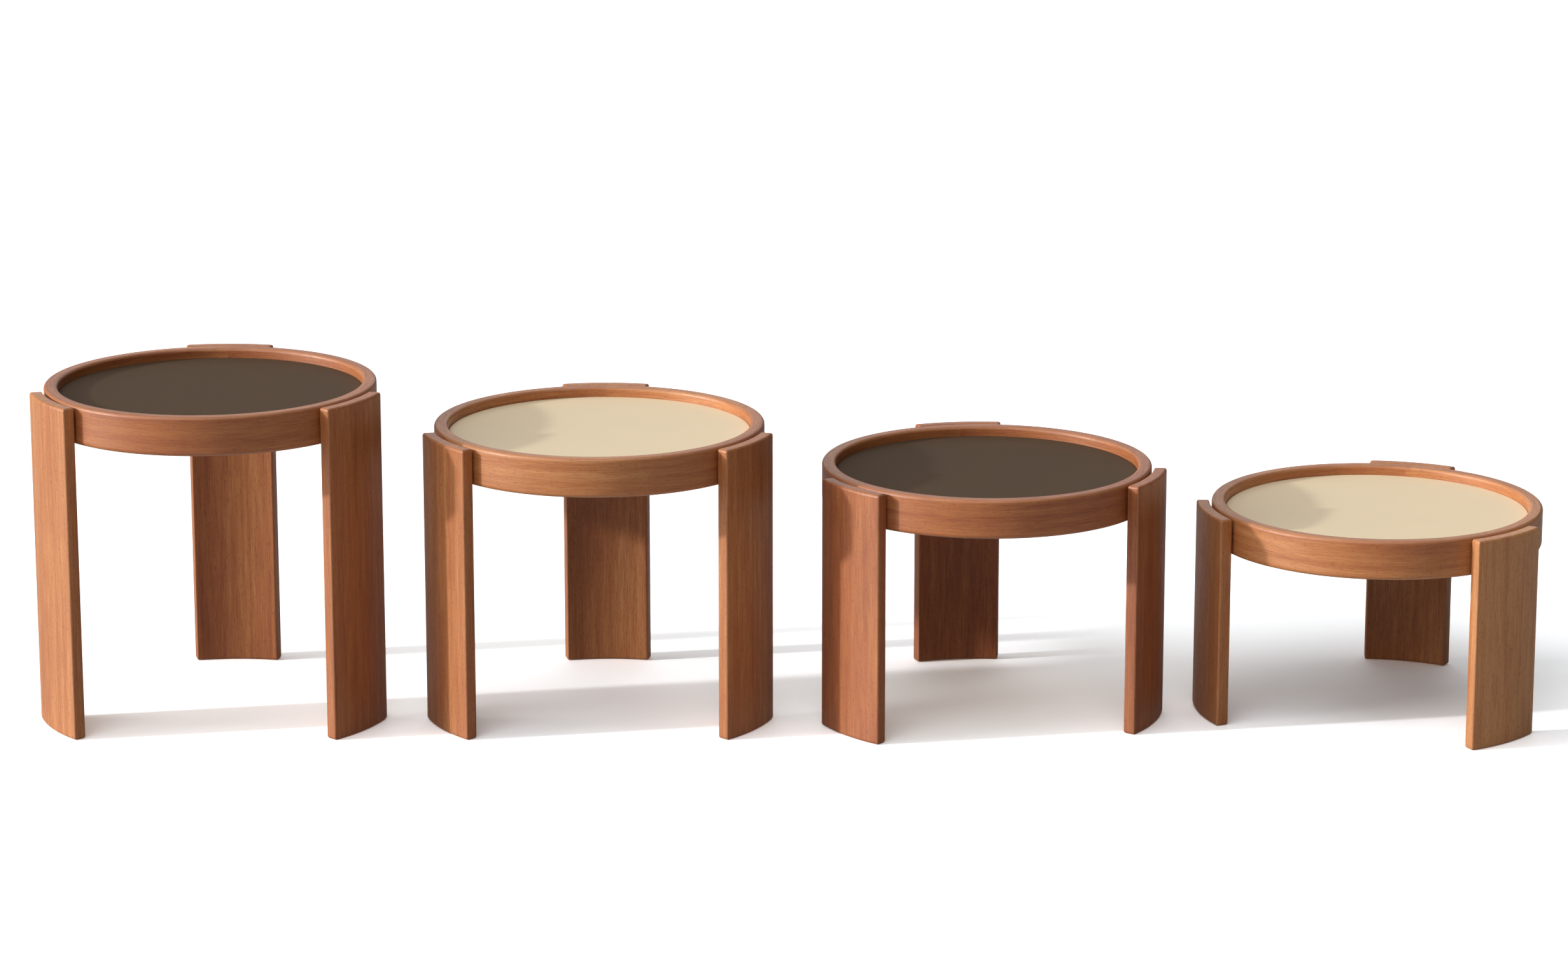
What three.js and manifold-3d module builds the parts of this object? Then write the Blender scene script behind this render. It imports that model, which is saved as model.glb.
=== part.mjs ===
// Four round nesting tables stood in a row, the tallest on the left.
//
// Every table is a bent wooden hoop carried by three curved legs that stand
// outside it. The legs hold the hoop a little way in, so that the legs of a
// taller table pass outside the hoop of a shorter one, and twelve legs close up
// into one drum when the set is nested. A thinner ring inside each hoop is the
// ledge that a loose round top lies on. The top is dark on one face and cream on
// the other.
//
// Millimetres, +Z up. +X runs along the row, and the front of the row faces -Y.
// The origin is under the middle of the row, on the floor.

import * as THREE from "three";
import { mergeVertices } from "three/addons/utils/BufferGeometryUtils.js";
import Module from "manifold-3d";

const wasm = await Module();
wasm.setup();

// ---------------------------------------------------------------- the set
const TALLEST_HEIGHT = 391.5; // floor to the lip of the tallest hoop
const HEIGHT_STEP = 48; // each table is this much lower than the one before
const CENTRE_GAPS = [451, 451, 456]; // from each table's centre to the next
const TABLES = [
  { name: "tallest", turn: 0, topFace: "dark" },
  { name: "tall", turn: 0, topFace: "cream" },
  { name: "low", turn: 7.6, topFace: "dark" },
  { name: "lowest", turn: -19, topFace: "cream" },
];

// ---------------------------------------------------------------- the hoop
const HOOP_OUTER_RADIUS = 192.2;
const HOOP_INNER_RADIUS = 176; // the wall round the top
const HOOP_HEIGHT = 45.4;
const HOOP_LIP_ROUND = 3.8;
const HOOP_BOTTOM_ROUND = 4.8;
const HOOP_BOTTOM_EASE = 1.5; // on the inner side, where the ledge meets it

// ---------------------------------------------------------------- the ledge
const LEDGE_INNER_RADIUS = 167.5; // the top rests on the ledge outside this
const LEDGE_BOTTOM_STEP = 1.6; // the ledge ends this far above the hoop's edge
const LEDGE_EASE = 1.2;

// ---------------------------------------------------------------- the legs
const LEG_OUTER_RADIUS = 210;
const LEG_THICKNESS = 15.2;
const LEG_HALF_ARC = 14.5; // degrees each side of the leg's middle
const LEG_TOP_DROP = 0.8; // the leg ends this far below the lip
const LEG_EDGE_EASE = 1.8;
const LEG_DIRECTIONS = { back: 90, left: 210, right: 330 };
const PAD_HALF_ARC = 12; // the raised pad that meets the hoop
const PAD_HEIGHT = 30;

// ---------------------------------------------------------------- the tops
const RECESS_DEPTH = 11.4; // from the lip down to the face of the top
const CORE_THICKNESS = 12;
const FACE_THICKNESS = 0.9;
const GLUE_LINE = 0.1;
const TOP_SIDE_GAP = 0.6; // lets the loose top be lifted out

// ---------------------------------------------------------------- the screws
const SCREW_OFFSET_ANGLE = 9; // degrees each side of the leg's middle
const SCREW_HEIGHT = 10.5; // above the hoop's lower edge
const SCREW_LENGTH = 36;
const SCREW_POINT_LENGTH = 5;
const SCREW_SHANK_RADIUS = 2.5;
const SCREW_HEAD_RADIUS = 5;
const SCREW_HEAD_DEPTH = 3;
const SCREW_SIDES = 8;
const SCREW_HOLE_MOUTH = 2; // the drill comes in from this far inside the ledge

// ---------------------------------------------------------------- shared
const CLEARANCE = 0.3; // between pieces that meet
const FACET_ANGLE = 6; // degrees of arc for each flat of a curved face
const FACETS = 360 / FACET_ANGLE;
const ROUND_STEPS = 2; // flats across each rounded edge
const UP = new THREE.Vector3(0, 0, 1);

const LEG_INNER_RADIUS = LEG_OUTER_RADIUS - LEG_THICKNESS;
const TOP_THICKNESS = CORE_THICKNESS + 2 * (FACE_THICKNESS + GLUE_LINE);
const LEDGE_DROP = RECESS_DEPTH + TOP_THICKNESS + CLEARANCE;

// ---------------------------------------------------------------- materials
function finish(name, color, roughness, metalness = 0) {
  return new THREE.MeshStandardMaterial({ name, color, roughness, metalness });
}

const WOOD = finish("stained_wood", 0xa9683f, 0.5);
const CORE = finish("panel_core", 0xb99a6e, 0.8);
const DARK = finish("dark_laminate", 0x4f4335, 0.6);
const CREAM = finish("cream_laminate", 0xe6d3af, 0.5);
const STEEL = finish("steel", 0x9a9a98, 0.35, 1);

// ---------------------------------------------------------------- helpers
const radians = THREE.MathUtils.degToRad;

// A closed three.js geometry as a solid that can be joined and cut.
function solid(geometry) {
  const bare = geometry.clone();
  bare.deleteAttribute("normal");
  bare.deleteAttribute("uv");
  const merged = mergeVertices(bare, 1e-4);
  return new wasm.Manifold(
    new wasm.Mesh({
      numProp: 3,
      vertProperties: merged.getAttribute("position").array,
      triVerts: new Uint32Array(merged.getIndex().array),
    }),
  );
}

// The solid back as a three.js geometry.
function geometryOf(body) {
  const mesh = body.getMesh();
  const geometry = new THREE.BufferGeometry();
  const positions = new THREE.BufferAttribute(mesh.vertProperties, 3);
  geometry.setAttribute("position", positions);
  geometry.setIndex(new THREE.BufferAttribute(mesh.triVerts, 1));
  geometry.computeVertexNormals();
  return geometry;
}

function named(name, geometry, material) {
  const mesh = new THREE.Mesh(geometry, material);
  mesh.name = name;
  return mesh;
}

function polar(radius, degrees) {
  const angle = radians(degrees);
  return new THREE.Vector2(radius * Math.cos(angle), radius * Math.sin(angle));
}

// Points of an arc about the origin, from one angle up to the other, with its
// flats on the same angles as the hoop's.
function arc(radius, from, to) {
  const points = [polar(radius, from)];
  const first = Math.floor(from / FACET_ANGLE + 1) * FACET_ANGLE;
  for (let angle = first; angle < to; angle += FACET_ANGLE) {
    points.push(polar(radius, angle));
  }
  points.push(polar(radius, to));
  return points;
}

// Points of a rounded edge in an outline.
function roundedEdge(centreX, centreY, radius, from, to) {
  const points = [];
  for (let step = 0; step <= ROUND_STEPS; step += 1) {
    const angle = from + ((to - from) * step) / ROUND_STEPS;
    points.push(polar(radius, angle).add(new THREE.Vector2(centreX, centreY)));
  }
  return points;
}

// Turns an outline of (radius, height) points about the vertical axis.
function turned(outline, sides) {
  return new THREE.LatheGeometry(outline, sides).rotateX(Math.PI / 2);
}

// A flat round plate whose lower face is at the given height.
function disc(radius, bottom, thickness) {
  return new THREE.CylinderGeometry(radius, radius, thickness, FACETS)
    .rotateX(Math.PI / 2)
    .translate(0, 0, bottom + thickness / 2);
}

// ---------------------------------------------------------------- the screws
// Outline of a countersunk screw from the rim of its head to its point, or of
// the hole for it when it is made larger.
function screwOutline(extra) {
  const shank = SCREW_SHANK_RADIUS + extra;
  return [
    new THREE.Vector2(SCREW_HEAD_RADIUS + extra, 0),
    new THREE.Vector2(shank, SCREW_HEAD_DEPTH),
    new THREE.Vector2(shank, SCREW_LENGTH - SCREW_POINT_LENGTH + extra),
    new THREE.Vector2(0, SCREW_LENGTH + extra),
  ];
}

// Lays a shape made along +Z out along the radius at an angle, so that it starts
// just behind the ledge's inner face.
function alongRadius(geometry, degrees, height) {
  const start = LEDGE_INNER_RADIUS * Math.cos(radians(FACET_ANGLE / 2)) + CLEARANCE;
  return geometry
    .rotateY(Math.PI / 2)
    .translate(start, 0, height)
    .rotateZ(radians(degrees));
}

function screwGeometry(degrees, height) {
  const outline = [new THREE.Vector2(0, 0), ...screwOutline(0)];
  return alongRadius(turned(outline, SCREW_SIDES), degrees, height);
}

function screwHole(degrees, height) {
  const mouthRadius = SCREW_HEAD_RADIUS + CLEARANCE;
  const outline = [
    new THREE.Vector2(0, -SCREW_HOLE_MOUTH),
    new THREE.Vector2(mouthRadius, -SCREW_HOLE_MOUTH),
    ...screwOutline(CLEARANCE),
  ];
  return solid(alongRadius(turned(outline, SCREW_SIDES), degrees, height));
}

function screwAngles(legDirection) {
  return {
    first: legDirection - SCREW_OFFSET_ANGLE,
    second: legDirection + SCREW_OFFSET_ANGLE,
  };
}

// ---------------------------------------------------------------- the hoop
// A ring turned from a closed outline of (radius, height) points, with the lip at
// height 0, and drilled for the screws.
function drilledRing(outline) {
  let ring = solid(turned([...outline, outline[0].clone()], FACETS));
  for (const direction of Object.values(LEG_DIRECTIONS)) {
    for (const angle of Object.values(screwAngles(direction))) {
      ring = ring.subtract(screwHole(angle, SCREW_HEIGHT - HOOP_HEIGHT));
    }
  }
  return geometryOf(ring);
}

function hoopGeometry() {
  const lip = HOOP_LIP_ROUND;
  const low = HOOP_BOTTOM_ROUND;
  return drilledRing([
    ...roundedEdge(HOOP_OUTER_RADIUS - low, low - HOOP_HEIGHT, low, -90, 0),
    ...roundedEdge(HOOP_OUTER_RADIUS - lip, -lip, lip, 0, 90),
    ...roundedEdge(HOOP_INNER_RADIUS + lip, -lip, lip, 90, 180),
    new THREE.Vector2(HOOP_INNER_RADIUS, HOOP_BOTTOM_EASE - HOOP_HEIGHT),
    new THREE.Vector2(HOOP_INNER_RADIUS + HOOP_BOTTOM_EASE, -HOOP_HEIGHT),
  ]);
}

// ---------------------------------------------------------------- the ledge
function ledgeGeometry() {
  const outer = HOOP_INNER_RADIUS - CLEARANCE;
  const top = -LEDGE_DROP;
  const bottom = LEDGE_BOTTOM_STEP - HOOP_HEIGHT;
  return drilledRing([
    new THREE.Vector2(outer, bottom),
    new THREE.Vector2(outer, top),
    new THREE.Vector2(LEDGE_INNER_RADIUS + LEDGE_EASE, top),
    new THREE.Vector2(LEDGE_INNER_RADIUS, top - LEDGE_EASE),
    new THREE.Vector2(LEDGE_INNER_RADIUS, bottom + LEDGE_EASE),
    new THREE.Vector2(LEDGE_INNER_RADIUS + LEDGE_EASE, bottom),
  ]);
}

// ---------------------------------------------------------------- the legs
// Plan of a leg about the +X axis: two arcs and two radial ends, with its four
// corners eased.
function legPlan() {
  const ease = LEG_EDGE_EASE;
  const outerEnd = LEG_HALF_ARC - THREE.MathUtils.radToDeg(ease / LEG_OUTER_RADIUS);
  const innerEnd = LEG_HALF_ARC - THREE.MathUtils.radToDeg(ease / LEG_INNER_RADIUS);
  return new THREE.Shape([
    ...arc(LEG_OUTER_RADIUS, -outerEnd, outerEnd),
    polar(LEG_OUTER_RADIUS - ease, LEG_HALF_ARC),
    polar(LEG_INNER_RADIUS + ease, LEG_HALF_ARC),
    ...arc(LEG_INNER_RADIUS, -innerEnd, innerEnd).reverse(),
    polar(LEG_INNER_RADIUS + ease, -LEG_HALF_ARC),
    polar(LEG_OUTER_RADIUS - ease, -LEG_HALF_ARC),
  ]);
}

// Plan of the pad on the leg's inner face, which reaches in to the hoop.
function padPlan() {
  const innerRadius = HOOP_OUTER_RADIUS + CLEARANCE;
  const outerRadius = (LEG_INNER_RADIUS + LEG_OUTER_RADIUS) / 2;
  return new THREE.Shape([
    ...arc(outerRadius, -PAD_HALF_ARC, PAD_HALF_ARC),
    ...arc(innerRadius, -PAD_HALF_ARC, PAD_HALF_ARC).reverse(),
  ]);
}

function legGeometry(tableHeight) {
  const ease = LEG_EDGE_EASE;
  const length = tableHeight - LEG_TOP_DROP;
  const hoopBottom = tableHeight - HOOP_HEIGHT;
  const board = new THREE.ExtrudeGeometry(legPlan(), {
    depth: length - 2 * ease,
    bevelThickness: ease,
    bevelSize: ease,
    bevelOffset: -ease,
    bevelSegments: 1,
  }).translate(0, 0, ease);
  const pad = new THREE.ExtrudeGeometry(padPlan(), {
    depth: PAD_HEIGHT,
    bevelEnabled: false,
  }).translate(0, 0, hoopBottom + HOOP_BOTTOM_ROUND);
  let leg = solid(board).add(solid(pad));
  for (const angle of Object.values(screwAngles(0))) {
    leg = leg.subtract(screwHole(angle, hoopBottom + SCREW_HEIGHT));
  }
  return geometryOf(leg);
}

// ---------------------------------------------------------------- the tops
// Core and two faces, with the underside of the lower face at height 0.
function topPieces(tableName, upperFace) {
  const radius = HOOP_INNER_RADIUS - TOP_SIDE_GAP;
  const coreBottom = FACE_THICKNESS + GLUE_LINE;
  const upperBottom = coreBottom + CORE_THICKNESS + GLUE_LINE;
  const darkBottom = upperFace === "dark" ? upperBottom : 0;
  const creamBottom = upperBottom - darkBottom;
  const face = (bottom) => disc(radius, bottom, FACE_THICKNESS);
  return [
    named(`${tableName}_top_core`, disc(radius, coreBottom, CORE_THICKNESS), CORE),
    named(`${tableName}_top_dark_face`, face(darkBottom), DARK),
    named(`${tableName}_top_cream_face`, face(creamBottom), CREAM),
  ];
}

// ---------------------------------------------------------------- one table
function table({ name, turn, topFace }, height) {
  const group = new THREE.Group();
  group.rotateOnAxis(UP, radians(turn));

  const rings = new THREE.Group();
  rings.position.z = height;
  rings.add(named(`${name}_hoop`, hoopGeometry(), WOOD));
  rings.add(named(`${name}_ledge`, ledgeGeometry(), WOOD));
  group.add(rings);

  for (const [side, direction] of Object.entries(LEG_DIRECTIONS)) {
    const leg = named(`${name}_leg_${side}`, legGeometry(height), WOOD);
    leg.rotateOnAxis(UP, radians(direction));
    group.add(leg);
    for (const [place, angle] of Object.entries(screwAngles(direction))) {
      const geometry = screwGeometry(angle, height - HOOP_HEIGHT + SCREW_HEIGHT);
      group.add(named(`${name}_screw_${side}_${place}`, geometry, STEEL));
    }
  }

  const top = new THREE.Group();
  top.position.z = height - RECESS_DEPTH - TOP_THICKNESS;
  top.add(...topPieces(name, topFace));
  group.add(top);
  return group;
}

// ---------------------------------------------------------------- the row
function row() {
  const group = new THREE.Group();
  let x = 0;
  TABLES.forEach((entry, index) => {
    const placed = table(entry, TALLEST_HEIGHT - index * HEIGHT_STEP);
    placed.position.x = x;
    group.add(placed);
    x += CENTRE_GAPS[index] ?? 0;
  });
  const middle = new THREE.Box3().setFromObject(group, true).getCenter(new THREE.Vector3());
  group.position.set(-middle.x, -middle.y, 0);
  return group;
}

export default row();
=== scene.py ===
# %% [markdown]
# # Four nesting tables
#
# Four round tables stand in a row, each lower than the one before. Every table is
# a bent wooden hoop held by three curved legs, with a loose round top lying inside
# it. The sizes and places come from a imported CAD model, the frame. This lesson
# builds the fine surfaces and the finishes around it.
#
# The frame is loaded first and never moved. Its box is kept, so that the finished
# pieces can be compared with it at the end.

# %% Load the frame
import math

import bmesh
import bpy
import numpy as np
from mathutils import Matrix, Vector


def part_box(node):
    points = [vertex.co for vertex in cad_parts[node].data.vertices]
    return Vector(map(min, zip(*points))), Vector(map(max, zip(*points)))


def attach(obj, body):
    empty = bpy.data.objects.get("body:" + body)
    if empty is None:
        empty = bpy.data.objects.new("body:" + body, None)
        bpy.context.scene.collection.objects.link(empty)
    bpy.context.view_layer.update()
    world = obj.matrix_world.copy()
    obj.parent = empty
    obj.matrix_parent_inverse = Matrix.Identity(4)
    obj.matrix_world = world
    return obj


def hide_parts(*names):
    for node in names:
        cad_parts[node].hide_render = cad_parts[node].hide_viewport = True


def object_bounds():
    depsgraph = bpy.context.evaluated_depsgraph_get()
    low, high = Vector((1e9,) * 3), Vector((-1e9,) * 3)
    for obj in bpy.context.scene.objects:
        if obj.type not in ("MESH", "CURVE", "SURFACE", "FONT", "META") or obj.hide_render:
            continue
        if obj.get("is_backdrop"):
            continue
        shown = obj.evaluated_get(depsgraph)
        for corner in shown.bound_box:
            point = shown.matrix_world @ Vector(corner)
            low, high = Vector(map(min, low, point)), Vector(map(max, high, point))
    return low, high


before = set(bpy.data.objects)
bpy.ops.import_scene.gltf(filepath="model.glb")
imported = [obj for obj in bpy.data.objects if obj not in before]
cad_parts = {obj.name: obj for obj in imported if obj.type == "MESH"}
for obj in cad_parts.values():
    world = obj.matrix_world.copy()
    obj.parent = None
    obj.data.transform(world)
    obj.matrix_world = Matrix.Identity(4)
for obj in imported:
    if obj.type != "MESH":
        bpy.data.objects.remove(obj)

cad_low, cad_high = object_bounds()
print("CAD box in metres:", [round(size, 4) for size in cad_high - cad_low])

# %% [markdown]
# ## What the row is made of
#
# The names of the CAD nodes are put together from a table, a side and a piece.
# Every later cell loops over these lists.

# %% Names used by the frame
TABLES = ["tallest", "tall", "low", "lowest"]
SIDES = ["back", "left", "right"]
PLACES = ["first", "second"]
SCREWS = [f"{side}_{place}" for side in SIDES for place in PLACES]

# %% [markdown]
# ## Measuring round shapes
#
# A hoop, a leg and a screw all lie about the upright axis of their table, so each
# is measured by radius, angle and height from that axis. Typed-in numbers could
# drift from the CAD, so every size is read from its nodes.

# %% Radius, angle and height
TINY = 1e-5  # two measures closer than this are the same


def rows(items, name, width=3, kind=float):
    """A row of numbers from each vertex, face or face corner of a mesh."""
    values = np.empty(len(items) * width, dtype=kind)
    items.foreach_get(name, values)
    return values.reshape(-1, width)


def points(node):
    """Every corner of a CAD node."""
    return rows(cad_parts[node].data.vertices, "co")


def axis_of(table):
    """The point on the floor under the middle of a table."""
    low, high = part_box(f"{table}_hoop")
    return np.array([(low.x + high.x) / 2, (low.y + high.y) / 2, 0.0])


def about(axis, places):
    """Radius, angle and height of places about an upright axis."""
    offset = places - axis
    return np.hypot(offset[:, 0], offset[:, 1]), np.arctan2(offset[:, 1], offset[:, 0]), offset[:, 2]


def turn_between(angle, zero):
    """Angle from zero, from minus half a turn to plus half a turn."""
    return (angle - zero + math.pi) % (2 * math.pi) - math.pi


def arc_of(axis, places):
    """Direction of the middle of an arc, and its half width, in radians."""
    middle = places.mean(axis=0) - axis
    rough = math.atan2(middle[1], middle[0])
    spread = turn_between(about(axis, places)[1], rough)
    return rough + (spread.min() + spread.max()) / 2, (spread.max() - spread.min()) / 2


AXES = {table: axis_of(table) for table in TABLES}
for table, axis in AXES.items():
    print(f"{table}: axis at x {axis[0] * 1000:.1f} mm, y {axis[1] * 1000:.1f} mm")

# %% [markdown]
# ## Measuring the rings
#
# The hoop and the ledge are rings of one section. Screw holes cut both of them
# behind the legs, so the section is read half way between two legs, where the
# ring is whole. The corners of the section also say how far its edges are rounded.

# %% The section of a ring
CLEAR_OF_LEGS = math.radians(60)  # from a leg's direction to the middle of a gap
CLEAR_WIDTH = math.radians(15)
SKIN = 0.0001  # the smooth arcs stay this far inside the frame's box


def ring_section(table, piece):
    """Radii, heights and edge roundings of a ring."""
    leg_direction = arc_of(AXES[table], points(f"{table}_leg_back"))[0]
    radius, angle, height = about(AXES[table], points(f"{table}_{piece}"))
    whole = abs(turn_between(angle, leg_direction + CLEAR_OF_LEGS)) < CLEAR_WIDTH
    radius, height = radius[whole], height[whole]
    inner, outer = radius.min(), radius.max()
    bottom, top = height.min(), height.max()
    outer_wall = height[radius > outer - TINY]
    inner_wall = height[radius < inner + TINY]
    return {
        "inner": inner,
        "outer": outer - SKIN,
        "bottom": bottom,
        "top": top,
        "front": leg_direction + math.pi,
        "top_round": top - (outer_wall.max() if piece == "hoop" else inner_wall.max()),
        "outer_foot_round": outer_wall.min() - bottom,
        "inner_foot_round": inner_wall.min() - bottom,
    }


HOOPS = {table: ring_section(table, "hoop") for table in TABLES}
LEDGES = {table: ring_section(table, "ledge") for table in TABLES}
for table in TABLES:
    print(f"{table} hoop: lip {HOOPS[table]['top'] * 1000:.1f} mm above the floor")

# %% [markdown]
# ## Measuring the legs
#
# A leg is a curved board. Low down it is only the board, so its inner radius is
# read there. Higher up a pad stands in from the board to meet the hoop.

# %% The plan of a leg
FIT_GAP = 0.0003  # the frame leaves this between pieces that meet


def leg_size(table, side):
    """Radii, direction, width and height of a leg and of its pad."""
    corners = points(f"{table}_leg_{side}")
    radius, _, height = about(AXES[table], corners)
    inner = radius[height < height.max() / 2].min()
    pad = radius < inner - FIT_GAP
    direction, half_arc = arc_of(AXES[table], corners)
    return {
        "direction": direction,
        "half_arc": half_arc,
        "inner": inner,
        "outer": radius.max() - SKIN,
        "bottom": height.min(),
        "top": height.max(),
        "pad_inner": HOOPS[table]["outer"] + FIT_GAP,
        "pad_half_arc": arc_of(AXES[table], corners[pad])[1],
        "pad_bottom": height[pad].min(),
        "pad_top": height[pad].max(),
    }


LEGS = {(table, side): leg_size(table, side) for table in TABLES for side in SIDES}
for (table, side), leg in LEGS.items():
    print(f"{table} leg {side}: faces {math.degrees(leg['direction']) % 360:.1f} degrees")

# %% [markdown]
# ## Skinning a surface over loops
#
# Every piece here is a row of loops with the same number of corners, joined by
# bands of quads. Blender's Screw and Solidify modifiers could make the same
# rings, but one small function does rings, boards, discs and screws alike, and
# leaves clean quads behind.
#
# A ring closes on itself. Anything else is capped at both ends.

# %% Loops into a mesh
def band(first, second, count):
    """Quads between two loops, given the number of their first corners."""
    quads = []
    for i in range(count):
        after = (i + 1) % count
        quads.append((first + i, first + after, second + after, second + i))
    return quads


def round_cap(first, count):
    """One face over a loop."""
    return [tuple(range(first, first + count))]


def strip_cap(first, count):
    """Quads across a long thin loop, from one of its long sides to the other."""
    last = first + count - 1
    return [(first + i, first + i + 1, last - i - 1, last - i) for i in range(count // 2 - 1)]


def skin(name, loops, cap=None):
    """A piece with a surface over loops. Without a cap it is a closed ring."""
    count = len(loops[0])
    faces = []
    for i in range(len(loops) - 1):
        faces += band(i * count, (i + 1) * count, count)
    last = (len(loops) - 1) * count
    if cap is None:
        faces += band(last, 0, count)
    else:
        faces += cap(0, count) + cap(last, count)
    mesh = bpy.data.meshes.new(name)
    mesh.from_pydata([tuple(corner) for loop in loops for corner in loop], [], faces)
    face_outwards(mesh)
    piece = bpy.data.objects.new(name, mesh)
    bpy.context.scene.collection.objects.link(piece)
    return piece


def face_outwards(mesh):
    """Turns every face so that its front is on the outside."""
    edit = bmesh.new()
    edit.from_mesh(mesh)
    bmesh.ops.recalc_face_normals(edit, faces=edit.faces)
    edit.to_mesh(mesh)
    edit.free()


# %% [markdown]
# ## Rounded edges
#
# Sanded wood has no sharp edges, and the light line along a rounded edge is most
# of what makes it look real. A Bevel modifier could round them, but writing the
# arc into the outline gives the same even steps all the way round.
#
# One extra corner sits just past each end of an arc. It stops the smooth shading
# of the arc from spreading over the flat face beside it.

# %% Outlines with rounded corners
ROUND_STEPS = 7  # faces across a rounded edge
SUPPORT = 0.0004  # from the end of an arc to the corner that holds the flat


def rounded_outline(corners):
    """Points of an outline. Each corner is square, and is given as x, y and rounding."""
    outline = []
    for i, (x, y, rounding) in enumerate(corners):
        corner = np.array([x, y])
        back = np.array(corners[i - 1][:2]) - corner
        ahead = np.array(corners[(i + 1) % len(corners)][:2]) - corner
        back = back / np.linalg.norm(back)
        ahead = ahead / np.linalg.norm(ahead)
        centre = corner + rounding * (back + ahead)
        outline.append(corner + back * (rounding + SUPPORT))
        for turn in np.linspace(0, math.pi / 2, ROUND_STEPS + 1):
            outline.append(centre - rounding * (ahead * math.cos(turn) + back * math.sin(turn)))
        outline.append(corner + ahead * (rounding + SUPPORT))
    return outline


# %% [markdown]
# ## Smooth arcs
#
# The CAD model has flat facets. The fine pieces step round in small turns, and
# their shading is smooth except where two faces meet at a clear angle.

# %% Sweeping a section round the axis
TURN_STEPS = 180  # steps in a whole turn
SHARP_ANGLE = math.radians(32)


def upright_circle(axis, radius, height):
    """A level circle of points."""
    turns = np.arange(TURN_STEPS) * 2 * math.pi / TURN_STEPS
    return [axis + (radius * math.cos(turn), radius * math.sin(turn), height) for turn in turns]


def shade(piece):
    """Smooth shading that keeps real edges."""
    piece.data.shade_smooth()
    piece.data.set_sharp_from_angle(angle=SHARP_ANGLE)


# %% [markdown]
# ## The hoops
#
# On the real table a hoop is a strip of wood bent into a ring, with a full
# rounding along its lip and its lower edge. A Curve with a bevel profile could
# make it. Here its section is skinned round the axis, because the same section
# function then serves the ledge.

# %% A ring from its section
def ring_outline(size, outer_foot_round, outer_top_round):
    """Section of a ring, as radius and height."""
    return rounded_outline([
        (size["outer"], size["bottom"], outer_foot_round),
        (size["outer"], size["top"], outer_top_round),
        (size["inner"], size["top"], size["top_round"]),
        (size["inner"], size["bottom"], size["inner_foot_round"]),
    ])


def ring(name, axis, outline):
    """A ring whose section is an outline of radius and height."""
    circles = [upright_circle(axis, radius, height) for radius, height in outline]
    return skin(name, circles)


hoops = {}
for table, size in HOOPS.items():
    outline = ring_outline(size, size["outer_foot_round"], size["top_round"])
    hoops[table] = ring(f"{table}_hoop_fine", AXES[table], outline)
    print(hoops[table].name, len(hoops[table].data.polygons), "faces")

# %% [markdown]
# ## The ledges
#
# The top needs something to lie on. A thinner ring is glued inside each hoop,
# and its upper edge is the ledge. Only its inner edges are eased, because its
# outer ones are against the hoop.

# %% The ledge inside each hoop
HIDDEN_EASE = 0.0002  # edges that lie against another piece

ledges = {}
for table, size in LEDGES.items():
    outline = ring_outline(size, HIDDEN_EASE, HIDDEN_EASE)
    ledges[table] = ring(f"{table}_ledge_fine", AXES[table], outline)
    print(ledges[table].name, len(ledges[table].data.polygons), "faces")

# %% [markdown]
# ## The legs
#
# Each leg is a board pressed to the curve of the hoop, with softly rounded long
# edges and slightly fuller rounding at its two ends. It could be a bevelled
# extrusion. Skinning loops from the foot up gives exact control of both
# roundings. Each loop is the plan of the board drawn in by a small inset.
#
# The corner of the plan keeps a small rounding at every inset, so that the loops
# never fold over themselves.

# %% The plan of a board at any inset
LEG_EDGE_ROUND = 0.0020
LEG_END_ROUND = 0.0032
SMALLEST_ROUND = 0.0006
LEG_ARC_STEPS = 18
LEG_CORNER_STEPS = 5


def polar(radius, angle):
    return np.array([radius * math.cos(angle), radius * math.sin(angle)])


def board_corner(radius, angle, rounding, start, end):
    """The arc at a corner of the plan, about a centre given by radius and angle."""
    centre = polar(radius, angle)
    return [centre + polar(rounding, turn) for turn in np.linspace(start, end, LEG_CORNER_STEPS + 1)]


def board_half(radius, side, inset, rounding, half_arc):
    """One long side of the plan with its two corners. Side is 1 outside and -1 inside."""
    corner_radius = radius - side * rounding
    corner_angle = half_arc - math.asin((inset + rounding) / corner_radius)
    support = SUPPORT / radius
    sweep = np.linspace(-corner_angle + support, corner_angle - support, LEG_ARC_STEPS + 1)
    end = half_arc + math.pi / 2
    facing = corner_angle if side == 1 else corner_angle + math.pi
    upper = board_corner(corner_radius, corner_angle, rounding, facing, end)
    lower = [point * (1, -1) for point in reversed(upper)]
    return lower + [polar(radius, angle) for angle in sweep] + upper


def board_plan(leg, inset):
    """The plan of a leg about the +X axis, drawn in by an inset."""
    rounding = max(LEG_EDGE_ROUND - inset, SMALLEST_ROUND)
    outer = board_half(leg["outer"] - inset, 1, inset, rounding, leg["half_arc"])
    inner = board_half(leg["inner"] + inset, -1, inset, rounding, leg["half_arc"])
    return outer + list(reversed(inner))


def board_levels(bottom, top):
    """Height and inset of each loop of a board, from its foot to its top."""
    turns = np.linspace(0, math.pi / 2, ROUND_STEPS + 1)
    end = [(LEG_END_ROUND * (1 - math.sin(t)), LEG_END_ROUND * (1 - math.cos(t))) for t in turns]
    rise = [(height, inset) for height, inset in reversed(end)]
    rise = [(0.0, LEG_END_ROUND + SUPPORT)] + rise + [(LEG_END_ROUND + SUPPORT, 0.0)]
    return [(bottom + h, i) for h, i in rise] + [(top - h, i) for h, i in reversed(rise)]


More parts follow.
